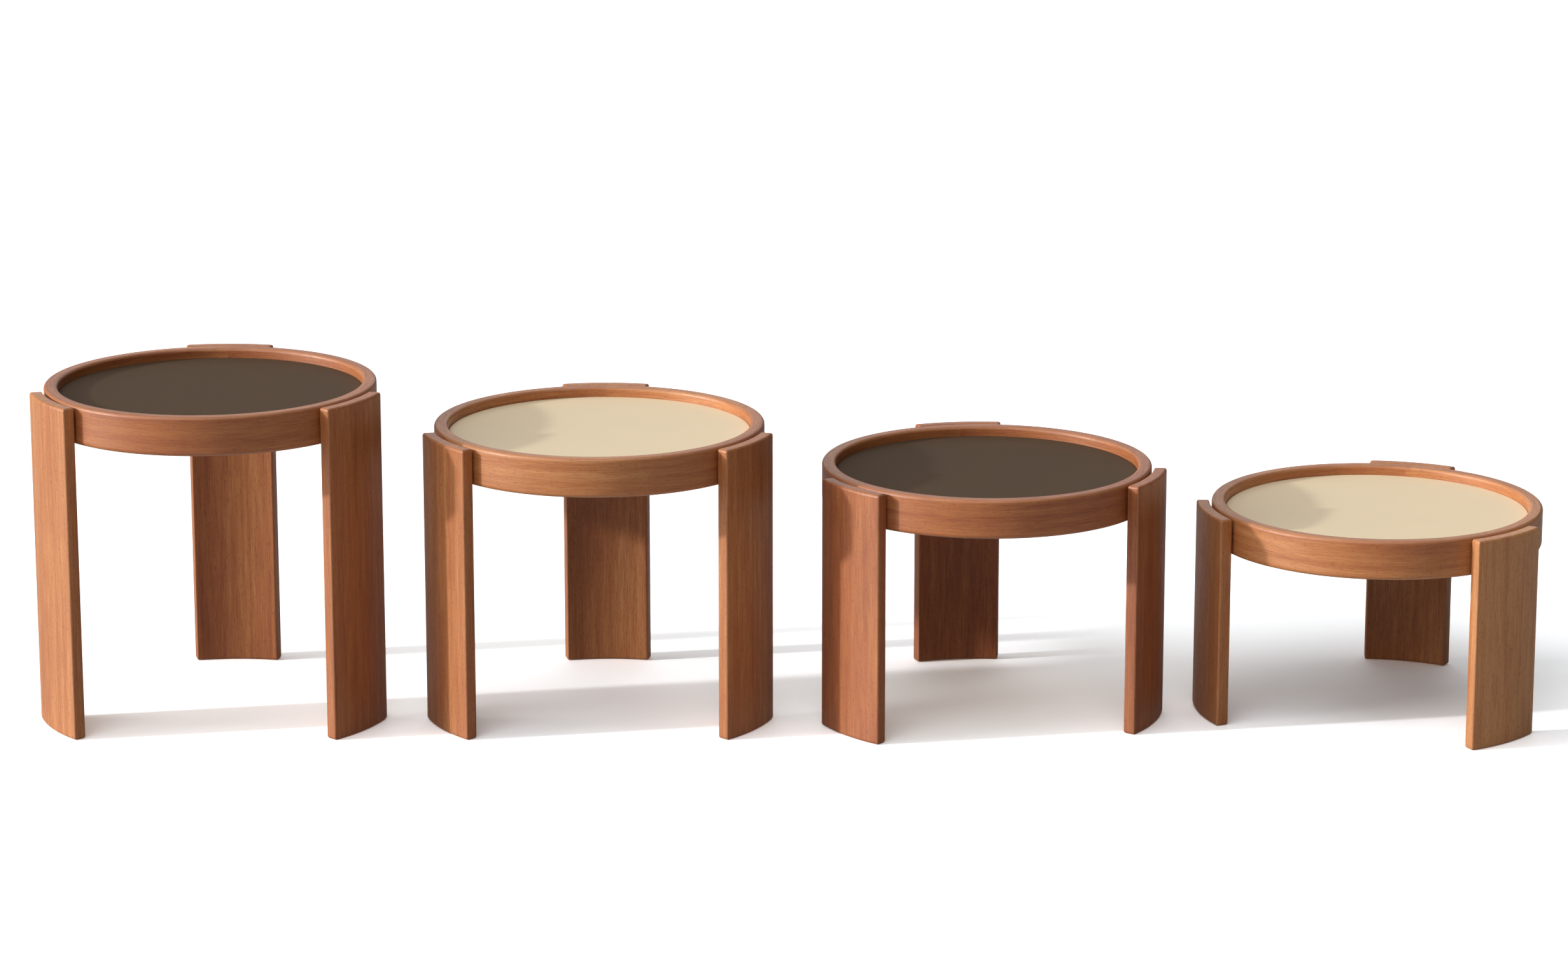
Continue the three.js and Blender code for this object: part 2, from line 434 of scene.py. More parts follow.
def laid(plan, axis, direction, height):
    """Plan points turned to a direction and lifted to a height."""
    cosine, sine = math.cos(direction), math.sin(direction)
    return [axis + (x * cosine - y * sine, x * sine + y * cosine, height) for x, y in plan]


def board(name, axis, leg):
    loops = []
    for height, inset in board_levels(leg["bottom"], leg["top"]):
        loops.append(laid(board_plan(leg, inset), axis, leg["direction"], height))
    return skin(name, loops, cap=strip_cap)


legs = {}
for (table, side), leg in LEGS.items():
    legs[table, side] = board(f"{table}_leg_{side}_fine", AXES[table], leg)
print(len(legs), "boards of", len(legs["tallest", "back"].data.polygons), "faces each")

# %% [markdown]
# ## Joining and cutting
#
# The pad on the back of each leg and the screw holes are made the way a workshop
# makes them, by gluing on and by drilling. A Boolean modifier does both. Its
# result is kept as the mesh itself, so the piece is one clean solid.

# %% Boolean changes
def change_shape(piece, tool, operation):
    """Joins a tool shape to a piece, or cuts it away, and removes the tool."""
    change = piece.modifiers.new("change", "BOOLEAN")
    change.object = tool
    change.operation = operation
    change.solver = "MANIFOLD"
    depsgraph = bpy.context.evaluated_depsgraph_get()
    changed = bpy.data.meshes.new_from_object(piece.evaluated_get(depsgraph))
    changed.name = piece.name
    piece.modifiers.clear()
    piece.data = changed
    bpy.data.objects.remove(tool)


# %% [markdown]
# ## The pads
#
# The legs stand a little way off the hoop, so that the hoop of a smaller table
# clears them when the set is nested. The pad fills that gap where the two meet.

# %% A pad on each leg
PAD_ARC_STEPS = 16


def pad(leg, axis):
    """The block that stands in from a leg to its hoop."""
    sweep = np.linspace(-leg["pad_half_arc"], leg["pad_half_arc"], PAD_ARC_STEPS + 1)
    middle_of_board = (leg["inner"] + leg["outer"]) / 2
    plan = [polar(middle_of_board, angle) for angle in sweep]
    plan += [polar(leg["pad_inner"], angle) for angle in reversed(sweep)]
    heights = (leg["pad_bottom"], leg["pad_top"])
    loops = [laid(plan, axis, leg["direction"], height) for height in heights]
    return skin("pad", loops, cap=strip_cap)


for (table, side), leg in LEGS.items():
    change_shape(legs[table, side], pad(leg, AXES[table]), "UNION")
print("leg with its pad:", len(legs["tallest", "back"].data.polygons), "faces")

# %% [markdown]
# ## The screws
#
# Two countersunk screws go out through the ledge and the hoop into each leg.
# Their heads are flush with the ledge and have a six-sided socket. The thread is
# a row of plain rings instead of a helix, because it is buried in the wood.
#
# A screw is built of circles along its own axis. The socket's circles have their
# corners on a hexagon, so that the bands still join corner to corner.

# %% Size and outline of a screw
SCREW_TURN = 36  # corners round a screw
SOCKET_SIDES = 6
SOCKET_WIDTH = 0.0030  # across the flats
SOCKET_DEPTH = 0.0018
HEAD_EASE = 0.0002
HEAD_DEPTH = 0.0030
SHANK_RADIUS = 0.0025
POINT_LENGTH = 0.0050
POINT_RADIUS = 0.00005
THREAD_PITCH = 0.0018
THREAD_SLOPE = 0.25  # of a turn, down to the root of the thread and up again
THREAD_DEPTH = 0.0006
PLAIN_SHANK = 0.0100  # from the head to the first turn of the thread


def screw_size(table, name):
    """Start, direction, length and head radius of a screw."""
    axis = AXES[table]
    corners = points(f"{table}_screw_{name}")
    angle = arc_of(axis, corners)[0]
    out = np.array([math.cos(angle), math.sin(angle), 0.0])
    along = (corners - axis) @ out
    height = (corners[:, 2].min() + corners[:, 2].max()) / 2
    return {
        "start": axis + out * along.min() + (0, 0, height),
        "out": out,
        "length": along.max() - along.min(),
        "head": (corners[:, 2].max() - corners[:, 2].min()) / 2,
    }


def circle_across(screw, distance, radius, sides=None):
    """A loop round a screw's axis. With sides, it is a polygon and not a circle."""
    up = np.array([0, 0, 1])
    sideways = np.cross(screw["out"], up)
    loop = []
    for turn in np.arange(SCREW_TURN) * 2 * math.pi / SCREW_TURN:
        reach = radius
        if sides:
            half_side = math.pi / sides
            reach = radius / math.cos(turn % (2 * half_side) - half_side)
        across = sideways * math.cos(turn) * reach + up * math.sin(turn) * reach
        loop.append(screw["start"] + screw["out"] * distance + across)
    return loop


def threaded_shank(length):
    """Distance and radius of each ring of the shank, up to the point."""
    rings = [(HEAD_DEPTH, SHANK_RADIUS), (PLAIN_SHANK, SHANK_RADIUS)]
    end = length - POINT_LENGTH
    turns = int((end - PLAIN_SHANK) / THREAD_PITCH)
    for turn in range(turns):
        start = PLAIN_SHANK + turn * THREAD_PITCH
        for part in (THREAD_SLOPE, 1 - THREAD_SLOPE):
            rings.append((start + THREAD_PITCH * part, SHANK_RADIUS - THREAD_DEPTH))
        rings.append((start + THREAD_PITCH, SHANK_RADIUS))
    return rings + [(end, SHANK_RADIUS), (length, POINT_RADIUS)]


def screw_piece(name, screw):
    """A screw, from the bottom of its socket over its head to its point."""
    socket = SOCKET_WIDTH / 2
    hollow = [
        (SOCKET_DEPTH, socket / 2),
        (SOCKET_DEPTH, socket),
        (HEAD_EASE, socket),
        (0, socket + HEAD_EASE),
    ]
    outside = [(0, screw["head"] - HEAD_EASE), (HEAD_EASE, screw["head"])]
    outside += threaded_shank(screw["length"])
    loops = [circle_across(screw, *ring, sides=SOCKET_SIDES) for ring in hollow]
    loops += [circle_across(screw, *ring) for ring in outside]
    return skin(name, loops, cap=round_cap)


screw_sizes = {(table, name): screw_size(table, name) for table in TABLES for name in SCREWS}
screws = {}
for (table, name), screw in screw_sizes.items():
    screws[table, name] = screw_piece(f"{table}_screw_{name}_fine", screw)
print(len(screws), "screws of", len(screws["tallest", "back_first"].data.polygons), "faces each")

# %% [markdown]
# ## Drilling
#
# One drilled shape per screw, a little larger than the screw, is cut from the
# ledge, the hoop and the leg in turn.

# %% Screw holes
DRILL_RUN_IN = 0.0040  # the drill starts this far inside the ledge


def drill(screw):
    """The space for a screw, open towards the middle of the table."""
    mouth = screw["head"] + FIT_GAP
    shank = SHANK_RADIUS + FIT_GAP
    end = screw["length"] + FIT_GAP
    rings = [
        (-DRILL_RUN_IN, mouth),
        (0, mouth),
        (HEAD_DEPTH, shank),
        (end - POINT_LENGTH, shank),
        (end, POINT_RADIUS * 2),
    ]
    return skin("drill", [circle_across(screw, *ring) for ring in rings], cap=round_cap)


for (table, name), screw in screw_sizes.items():
    side = name.split("_")[0]
    for piece in (ledges[table], hoops[table], legs[table, side]):
        change_shape(piece, drill(screw), "DIFFERENCE")
print("hoop after drilling:", len(hoops["tallest"].data.polygons), "faces")

# %% [markdown]
# ## The tops
#
# Each top is a plywood disc with a thin hard sheet glued to each face, dark on
# one and cream on the other. The top lies loose, so either face can be turned up.
# A disc is circles from the middle of one face to the middle of the other, and
# the circles are closest together on its eased edges.

# %% Three layers for each top
FACE_EASE = 0.00025
CORE_EASE = 0.0001
TOP_LAYERS = {"core": CORE_EASE, "dark_face": FACE_EASE, "cream_face": FACE_EASE}


def disc(name, node, axis, ease):
    """A round plate in place of a CAD plate."""
    radius, _, height = about(axis, points(node))
    rim = rounded_outline([
        (radius.max(), height.min(), ease),
        (radius.max(), height.max(), ease),
        (0.0, height.max(), ease),
        (0.0, height.min(), ease),
    ])
    rim = rim[: len(rim) // 2]
    return skin(name, [upright_circle(axis, r, h) for r, h in rim], cap=round_cap)


tops = {}
for table in TABLES:
    for layer, ease in TOP_LAYERS.items():
        node = f"{table}_top_{layer}"
        tops[table, layer] = disc(f"{node}_fine", node, AXES[table], ease)
print(len(tops), "discs of", len(tops["tallest", "core"].data.polygons), "faces each")

# %% [markdown]
# ## Grain that follows the wood
#
# In a bent hoop the grain runs round the ring, and in a leg it runs from top to
# foot. Object coordinates would run the grain straight through both. So every
# face corner gets a grain place of its own: how far it is across the board,
# through the board and along the fibres, in metres. The ring's start and end
# meet behind the back leg, where a joint would be out of sight.
#
# Each piece adds an offset of its own, as if it were cut from another board. The
# four tables differ a little in tone. The boards of one table match, apart from
# two legs that are painted paler. The tallest table's left leg is painted light:
# paler where the window lamps fall on it, with their sheen. The lowest table's
# right leg is partly paler wood and partly painted light from the open right end
# of the row. The tone, with this painted light, is written on each piece as well.

# %% Writing the grain place
BOARD_OFFSET = np.array([0.37, 0.23, 1.71])  # from one board to the next, in metres
TABLE_TONE = {"tallest": 0.08, "tall": 0.17, "low": -0.03, "lowest": 0.19}  # paler is more
# Painted light: the tallest table's left leg is made paler for the window lamps and their sheen on it;
# the lowest table's right leg is partly paler wood, partly painted light from the open right end of the
# row.
PALE_WOOD_AND_PAINTED_LIGHT = {("tallest", "left"): 0.18, ("lowest", "right"): 0.22}  # legs that are paler still


def face_corners(mesh):
    """Place of every face corner, and the middle of its face."""
    used = rows(mesh.loops, "vertex_index", 1, int)[:, 0]
    counts = rows(mesh.polygons, "loop_total", 1, int)[:, 0]
    middles = rows(mesh.polygons, "center")
    return rows(mesh.vertices, "co")[used], np.repeat(middles, counts, axis=0)


def corners_about(piece, axis, zero):
    """Radius, angle and height of each face corner. The angle never jumps within a face."""
    places, middles = face_corners(piece.data)
    radius, angle, height = about(axis, places)
    middle = turn_between(about(axis, middles)[1], zero)
    return radius, middle + turn_between(angle, zero + middle), height


def write_grain(piece, across, through, along, board_number):
    grain = np.stack([across, through, along], axis=1) + BOARD_OFFSET * board_number
    attribute = piece.data.attributes.new("grain", "FLOAT_VECTOR", "CORNER")
    attribute.data.foreach_set("vector", grain.astype(np.float32).ravel())


def grain_round(piece, axis, front, board_number):
    """Fibres that run round a ring."""
    radius, angle, height = corners_about(piece, axis, front)
    write_grain(piece, height, radius, angle * radius.mean(), board_number)


def grain_upright(piece, axis, direction, board_number):
    """Fibres that run from top to foot."""
    radius, angle, height = corners_about(piece, axis, direction)
    write_grain(piece, angle * radius, radius, height, board_number)


def grain_flat(piece, axis, board_number):
    """Sheets and plywood, with their length along X."""
    places, _ = face_corners(piece.data)
    offset = places - axis
    write_grain(piece, offset[:, 1], offset[:, 2], offset[:, 0], board_number)


# %% [markdown]
# ## Edges that hands rub
#
# Wood is a little paler along its edges. The finish needs to know where they
# are. Every corner of the mesh is measured from the faces of its piece: on a
# flat it is close to one of them, and on an edge it is close to two. The second
# smallest distance therefore says how near an edge is.

# %% Writing how near an edge is
def write_values(piece, name, values):
    """Writes a number on every corner of a piece, for its finish to read."""
    attribute = piece.data.attributes.new(name, "FLOAT", "POINT")
    attribute.data.foreach_set("value", values.astype(np.float32))


def write_edges(piece, distances, reach):
    nearness = np.clip(1 - np.sort(distances, axis=0)[1] / reach, 0, 1)
    write_values(piece, "edge", nearness)


def ring_edges(piece, axis, size):
    radius, _, height = about(axis, rows(piece.data.vertices, "co"))
    walls = np.minimum(size["outer"] - radius, radius - size["inner"])
    ends = np.minimum(size["top"] - height, height - size["bottom"])
    write_edges(piece, np.stack([walls, ends]), size["top_round"])


def leg_edges(piece, axis, leg):
    radius, angle, height = about(axis, rows(piece.data.vertices, "co"))
    faces = np.minimum(leg["outer"] - radius, abs(radius - leg["inner"]))
    ends = np.minimum(leg["top"] - height, height - leg["bottom"])
    sides = (leg["half_arc"] - abs(turn_between(angle, leg["direction"]))) * radius
    write_edges(piece, np.stack([faces, ends, sides]), LEG_EDGE_ROUND)


# The tone written here is the table's tone plus painted light on two legs.
def write_tone_and_painted_light(piece, tone):
    tones = np.full(len(piece.data.vertices), tone)
    write_values(piece, "tone_and_painted_light", tones)


boards = 0
for table in TABLES:
    axis = AXES[table]
    for rings, sizes in ((hoops, HOOPS), (ledges, LEDGES)):
        grain_round(rings[table], axis, sizes[table]["front"], boards)
        ring_edges(rings[table], axis, sizes[table])
        write_tone_and_painted_light(rings[table], TABLE_TONE[table])
        boards += 1
    for side in SIDES:
        leg, piece = LEGS[table, side], legs[table, side]
        grain_upright(piece, axis, leg["direction"], boards)
        leg_edges(piece, axis, leg)
        # Two legs get painted light on top of their table's tone.
        write_tone_and_painted_light(piece, TABLE_TONE[table] + PALE_WOOD_AND_PAINTED_LIGHT.get((table, side), 0))
        boards += 1
    for layer in TOP_LAYERS:
        grain_flat(tops[table, layer], axis, boards)
    boards += 1
print(boards, "boards given a grain")

# %% [markdown]
# ## A shorthand for nodes
#
# A material is a tree of nodes. These helpers add a node, set what is the same
# all over it, and link the rest, so that each finish below reads as a list of
# steps. Shared effects become node groups with named sockets.

# %% Adding and linking nodes
NOISE_SPAN = (0.3, 0.7)  # noise runs from 0 to 1 but seldom leaves this span


def add_node(tree, kind, inputs=None, **settings):
    """Adds a node. An input is a plain value or the socket that feeds it."""
    node = tree.nodes.new(kind)
    for name, value in settings.items():
        setattr(node, name, value)
    for name, value in (inputs or {}).items():
        if isinstance(value, bpy.types.NodeSocket):
            tree.links.new(value, node.inputs[name])
        else:
            node.inputs[name].default_value = value
    return node


def calculate(tree, operation, first, second=0.0):
    inputs = {0: first, 1: second}
    return add_node(tree, "ShaderNodeMath", inputs, operation=operation).outputs[0]


def weighted_sum(tree, *parts):
    """Adds up values, each of them times its weight."""
    total = 0.0
    for value, weight in parts:
        total = calculate(tree, "ADD", total, calculate(tree, "MULTIPLY", value, weight))
    return total


def remap(tree, value, low, high, new_low=0.0, new_high=1.0):
    """A value from low to high becomes one from new_low to new_high, and stops there."""
    limits = {"From Min": low, "From Max": high, "To Min": new_low, "To Max": new_high}
    return add_node(tree, "ShaderNodeMapRange", {"Value": value, **limits}).outputs[0]


def mix_colour(tree, amount, first, second):
    inputs = {0: amount, 6: first, 7: second}
    return add_node(tree, "ShaderNodeMix", inputs, data_type="RGBA").outputs[2]


def noise(tree, place, size, detail):
    """Noise whose marks are about so many metres across."""
    scale = calculate(tree, "DIVIDE", 1.0, size)
    inputs = {"Vector": place, "Scale": scale, "Detail": detail}
    return add_node(tree, "ShaderNodeTexNoise", inputs).outputs[0]


def new_group(name, inputs):
    """A node group and the sockets of its inputs. An input with no number is a place."""
    group = bpy.data.node_groups.new(name, "ShaderNodeTree")
    for label, value in inputs.items():
        kind = "NodeSocketVector" if value is None else "NodeSocketFloat"
        socket = group.interface.new_socket(label, in_out="INPUT", socket_type=kind)
        if value is not None:
            socket.default_value = value
    return group, add_node(group, "NodeGroupInput").outputs


def close_group(group, results):
    """Gives a node group its outputs, each fed by a socket from inside."""
    for label in results:
        group.interface.new_socket(label, in_out="OUTPUT", socket_type="NodeSocketFloat")
    add_node(group, "NodeGroupOutput", results)
    return group


def use_group(tree, group, inputs):
    return add_node(tree, "ShaderNodeGroup", inputs, node_tree=group).outputs


# %% [markdown]
# ## The grain group
#
# Close up, this wood has four things to see: parts of a board that differ a
# little in tone, long soft streaks, very fine fibres, and short dark pores. Each
# is a noise stretched along the fibres. On a leg's end the same noise is cut
# across, and turns into the specks of end grain by itself.

# %% Stretched noise
TONE_PATCH = (0.09, 0.30)  # width and length of a patch of one tone
STREAK_STRETCH = 28.0  # length over width
FIBRE_STRETCH = 26.0
PORE_STRETCH = 9.0
STREAK_SPAN = (0.28, 0.72)
FULL_COVER = 0.8  # the share of the noise that becomes pores at a pore cover of 1
PORE_SOFTNESS = 0.12  # the share over which the edge of a pore fades


def fibre_noise(tree, grain, width, length, detail):
    """Noise whose marks are so many metres wide and long."""
    stretch = add_node(tree, "ShaderNodeCombineXYZ", {"X": width, "Y": width, "Z": length}).outputs[0]
    inputs = {0: grain, 1: stretch}
    place = add_node(tree, "ShaderNodeVectorMath", inputs, operation="DIVIDE").outputs[0]
    return noise(tree, place, 1.0, detail)


def long_marks(group, grain, width, stretch, detail):
    """Noise whose marks are longer than they are wide by a stretch."""
    return fibre_noise(group, grain, width, calculate(group, "MULTIPLY", width, stretch), detail)


def grain_group():
    widths = {"Streak Width": 0.007, "Fibre Width": 0.0012, "Pore Width": 0.0006}
    group, inside = new_group("Wood grain", {"Grain": None, **widths, "Pore Cover": 0.3})
    grain = inside["Grain"]
    tone = fibre_noise(group, grain, *TONE_PATCH, 1.0)
    streaks = long_marks(group, grain, inside["Streak Width"], STREAK_STRETCH, 3.0)
    fibres = long_marks(group, grain, inside["Fibre Width"], FIBRE_STRETCH, 2.0)
    dashes = long_marks(group, grain, inside["Pore Width"], PORE_STRETCH, 0.0)
    cover = calculate(group, "MULTIPLY", inside["Pore Cover"], FULL_COVER)
    rim = calculate(group, "SUBTRACT", 1.0, cover)
    results = {
        "Tone": remap(group, tone, *NOISE_SPAN),
        "Streaks": remap(group, streaks, *STREAK_SPAN),
        "Fibres": remap(group, fibres, *NOISE_SPAN),
        "Pores": remap(group, dashes, calculate(group, "SUBTRACT", rim, PORE_SOFTNESS), rim),
    }
    return close_group(group, results)


WOOD_GRAIN = grain_group()
print("group:", WOOD_GRAIN.name, [socket.name for socket in WOOD_GRAIN.interface.items_tree])

# %% [markdown]
# ## The wear and dust groups
#
# Edges are rubbed paler in patches, never in an even line. Fine dust settles only
# on faces that look up. Both are masks that any finish can use.

# %% Rubbed edges and dust
LEAST_WEAR = 0.45  # in the patches that are rubbed least
WEAR_SPAN = (0.05, 0.60)
SPECK_SPAN = (0.72, 0.80)  # only the peaks of the noise are specks
UPWARD_SPAN = (0.70, 0.95)  # dust starts to lie, and lies fully, on a face this level


def edge_group():
    group, inside = new_group("Rubbed edges", {"Edge": 0.0, "Place": None, "Patch Size": 0.02})
    patches = noise(group, inside["Place"], inside["Patch Size"], 3.0)
    rubbing = remap(group, patches, *NOISE_SPAN, LEAST_WEAR, 1.0)
    wear = calculate(group, "MULTIPLY", inside["Edge"], rubbing)
    return close_group(group, {"Wear": remap(group, wear, *WEAR_SPAN)})


def dust_group():
    group, inside = new_group("Settled dust", {"Place": None, "Speck Size": 0.0016})
    peaks = noise(group, inside["Place"], inside["Speck Size"], 1.0)
    specks = remap(group, peaks, *SPECK_SPAN)
    normal = add_node(group, "ShaderNodeNewGeometry").outputs["Normal"]
    facing = add_node(group, "ShaderNodeSeparateXYZ", {0: normal}).outputs["Z"]
    upward = remap(group, facing, *UPWARD_SPAN)
    return close_group(group, {"Dust": calculate(group, "MULTIPLY", specks, upward)})


RUBBED_EDGES = edge_group()
SETTLED_DUST = dust_group()
print("groups:", RUBBED_EDGES.name, "and", SETTLED_DUST.name)

# %% [markdown]
# ## The speckle group
#
# The hard sheets on the tops are matt. From near they show a very fine fleck and
# a soft cloudiness, which keep a plain colour from looking like paint.

# %% Fleck and cloud
def speckle_group():
    sizes = {"Fleck Size": 0.0009, "Cloud Size": 0.08}
    group, inside = new_group("Fleck and cloud", {"Place": None, **sizes})
    flecks = noise(group, inside["Place"], inside["Fleck Size"], 1.0)
    clouds = noise(group, inside["Place"], inside["Cloud Size"], 3.0)
    results = {
        "Flecks": remap(group, flecks, *NOISE_SPAN),
        "Clouds": remap(group, clouds, *NOISE_SPAN),
    }
    return close_group(group, results)


FLECK_AND_CLOUD = speckle_group()
print("group:", FLECK_AND_CLOUD.name)

# %% [markdown]
# ## The stained wood
#
# The wood is a warm red-brown with a fine straight grain under a matt lacquer.
# A single image of wood would repeat and would need unwrapping, so the colour is
# worked out from the grain group. The streaks, the fibres and the tone of the
# board slide the colour along a ramp of stain, pores darken it, and rubbed edges
# lighten it. On two legs the tone also carries painted light, which makes them
# paler. The lacquer is a coat that lies over the wood as a faint pale veil.
#
# The fibres and the pores also feed the bump and the roughness, so that the
# light breaks up along them.

# %% Wood finish
STAIN = [
    (0.0, (0.220, 0.050, 0.011)),
    (0.35, (0.370, 0.102, 0.025)),
    (0.65, (0.480, 0.165, 0.044)),
    (1.0, (0.640, 0.280, 0.098)),
]
PORE_COLOUR = (0.15, 0.035, 0.010, 1)
RUBBED_COLOUR = (0.62, 0.30, 0.15, 1)
COLOUR_SHIFTS = {"Streaks": 0.34, "Fibres": 0.30, "Tone": 0.24}  # how far each slides the colour
PORE_DARKENING = 0.5
RUBBED_PALING = 0.35
SATIN = (0.50, 0.40)  # roughness between the fibres and on them
PORE_ROUGHENING = 0.15
PORE_HOLLOW = -0.8  # where the height of a fibre is 1
WOOD_RELIEF = 0.0001


def new_material(name):
    """A material with a Principled shader linked to its output."""
    material = bpy.data.materials.new(name)
    material.use_nodes = True
    return material, material.node_tree, material.node_tree.nodes["Principled BSDF"]


def attribute(tree, name, output):
    return add_node(tree, "ShaderNodeAttribute", attribute_name=name).outputs[output]


def ramp(tree, value, stops):
    """Colours along a ramp, each at its place from 0 to 1."""
    node = add_node(tree, "ShaderNodeValToRGB", {0: value})
    for index, (place, colour) in enumerate(stops):
        elements = node.color_ramp.elements
        element = elements[index] if index < 2 else elements.new(place)
        element.position = place
        element.color = (*colour, 1)
    return node.outputs[0]


def dress(tree, shader, colour, roughness, height, strength, relief):
    """Links the colour and the roughness, and bumps the surface. Relief is in metres."""
    inputs = {"Height": height, "Strength": strength, "Distance": relief}
    bump = add_node(tree, "ShaderNodeBump", inputs)
    tree.links.new(colour, shader.inputs["Base Color"])
    tree.links.new(roughness, shader.inputs["Roughness"])
    tree.links.new(bump.outputs[0], shader.inputs["Normal"])


def stained_wood():
    material, tree, shader = new_material("Stained wood")
    grain = attribute(tree, "grain", "Vector")
    marks = use_group(tree, WOOD_GRAIN, {"Grain": grain})
    edges = {"Edge": attribute(tree, "edge", "Fac"), "Place": grain}
    wear = use_group(tree, RUBBED_EDGES, edges)["Wear"]
    shifts = [(marks[name], shift) for name, shift in COLOUR_SHIFTS.items()]
    # The tone attribute is the tables' tones with painted light on two legs.
    depth = weighted_sum(tree, *shifts, (attribute(tree, "tone_and_painted_light", "Fac"), 1.0))
    darkening = calculate(tree, "MULTIPLY", marks["Pores"], PORE_DARKENING)
    paling = calculate(tree, "MULTIPLY", wear, RUBBED_PALING)
    colour = mix_colour(tree, darkening, ramp(tree, depth, STAIN), PORE_COLOUR)
    colour = mix_colour(tree, paling, colour, RUBBED_COLOUR)
    satin = remap(tree, marks["Fibres"], 0.0, 1.0, *SATIN)
    roughness = weighted_sum(tree, (satin, 1.0), (marks["Pores"], PORE_ROUGHENING))
    height = weighted_sum(tree, (marks["Fibres"], 1.0), (marks["Pores"], PORE_HOLLOW))
    dress(tree, shader, colour, roughness, height, 0.25, WOOD_RELIEF)
    shader.inputs["IOR"].default_value = 1.5
    shader.inputs["Coat Weight"].default_value = 0.65
    shader.inputs["Coat Roughness"].default_value = 0.6
    return material


STAINED_WOOD = stained_wood()
print("material:", STAINED_WOOD.name, len(STAINED_WOOD.node_tree.nodes), "nodes")

# %% [markdown]
# ## The two hard sheets
#
# The dark sheet is a warm grey-brown and the cream sheet a pale sand. Both are
# the same product in two colours, so one function makes both. The roughness, the
# gloss and the amount of dust are set for each.

# %% Laminate finishes
DUST_COLOUR = (0.55, 0.50, 0.43, 1)
FLECK_SHARE = 0.55  # of the way from the deep tone to the pale one
CLOUD_SHARE = 0.45
ROUGHNESS_DRIFT = 0.04
FINE_RELIEF = 0.00005


def laminate(name, deep, pale, roughness, ior, dust_amount):
    """A matt sheet whose colour drifts between a deep and a pale tone."""
    material, tree, shader = new_material(name)
    grain = attribute(tree, "grain", "Vector")
    marks = use_group(tree, FLECK_AND_CLOUD, {"Place": grain})
    dust = use_group(tree, SETTLED_DUST, {"Place": grain})["Dust"]
    drift = weighted_sum(tree, (marks["Flecks"], FLECK_SHARE), (marks["Clouds"], CLOUD_SHARE))
    colour = mix_colour(tree, drift, deep, pale)
    colour = mix_colour(tree, calculate(tree, "MULTIPLY", dust, dust_amount), colour, DUST_COLOUR)
    rough_span = (roughness - ROUGHNESS_DRIFT, roughness + ROUGHNESS_DRIFT)
    rough = remap(tree, marks["Clouds"], 0.0, 1.0, *rough_span)
    dress(tree, shader, colour, rough, marks["Flecks"], 0.2, FINE_RELIEF)
    shader.inputs["IOR"].default_value = ior
    return material


DARK_SHEET = laminate(
    "Dark sheet",
    deep=(0.078, 0.046, 0.025, 1),
    pale=(0.110, 0.067, 0.038, 1),
    roughness=0.75,
    ior=1.25,
    dust_amount=0.2,
)
CREAM_SHEET = laminate(
    "Cream sheet",
    deep=(0.89, 0.715, 0.475, 1),
    pale=(0.93, 0.760, 0.515, 1),
    roughness=0.6,
    ior=1.45,
    dust_amount=0.08,
)
print("materials:", DARK_SHEET.name, "and", CREAM_SHEET.name)

# %% [markdown]
# ## The plywood core
#
# The core shows only round its edge, and only when the top is lifted out. There
# it has the stripes of plywood: thin layers, every second one end on and darker.

# %% Plywood finish
PLY_THICKNESS = 0.0014
PLY_COLOUR = (0.62, 0.42, 0.22, 1)
END_PLY_COLOUR = (0.40, 0.23, 0.10, 1)
PLY_FIBRE_COLOUR = (0.72, 0.53, 0.32, 1)
PLY_FIBRE_AMOUNT = 0.35
PLY_ROUGHNESS = (0.70, 0.85)


def plywood():
    material, tree, shader = new_material("Plywood")
    grain = attribute(tree, "grain", "Vector")
    depth = add_node(tree, "ShaderNodeSeparateXYZ", {0: grain}).outputs["Y"]
    layer = calculate(tree, "DIVIDE", depth, PLY_THICKNESS * 2)
    end_on = calculate(tree, "GREATER_THAN", calculate(tree, "FRACT", layer), 0.5)
    fibres = use_group(tree, WOOD_GRAIN, {"Grain": grain, "Streak Width": 0.004})["Fibres"]
    colour = mix_colour(tree, end_on, PLY_COLOUR, END_PLY_COLOUR)
    paling = calculate(tree, "MULTIPLY", fibres, PLY_FIBRE_AMOUNT)
    colour = mix_colour(tree, paling, colour, PLY_FIBRE_COLOUR)
    rough = remap(tree, fibres, 0.0, 1.0, *PLY_ROUGHNESS)
    dress(tree, shader, colour, rough, fibres, 0.4, WOOD_RELIEF)
    return material


PLYWOOD = plywood()
print("material:", PLYWOOD.name)

# %% [markdown]
# ## The screws' steel
#
# Zinc-plated steel is bright but never a mirror. Small scratches and a light
# cloud in the plating vary its roughness.

# %% Steel finish
STEEL_COLOURS = (0.50, 0.50, 0.48, 1), (0.66, 0.66, 0.64, 1)
STEEL_ROUGHNESS = (0.25, 0.42)


def plated_steel():
    material, tree, shader = new_material("Plated steel")
    place = add_node(tree, "ShaderNodeTexCoord").outputs["Object"]
    marks = use_group(tree, FLECK_AND_CLOUD, {"Place": place, "Fleck Size": 0.0003, "Cloud Size": 0.003})
    colour = mix_colour(tree, marks["Clouds"], *STEEL_COLOURS)
    rough = remap(tree, marks["Flecks"], 0.0, 1.0, *STEEL_ROUGHNESS)
    dress(tree, shader, colour, rough, marks["Flecks"], 0.1, FINE_RELIEF)
    shader.inputs["Metallic"].default_value = 1.0
    return material


PLATED_STEEL = plated_steel()
print("material:", PLATED_STEEL.name)

# %% [markdown]
# ## Putting the pieces on the frame
#
# Every fine piece stands for its CAD node, which it hides, rides on the node's
# body, and gets its material. The legs, rings and screws move with the
# table, and the three layers of a top lift out together.

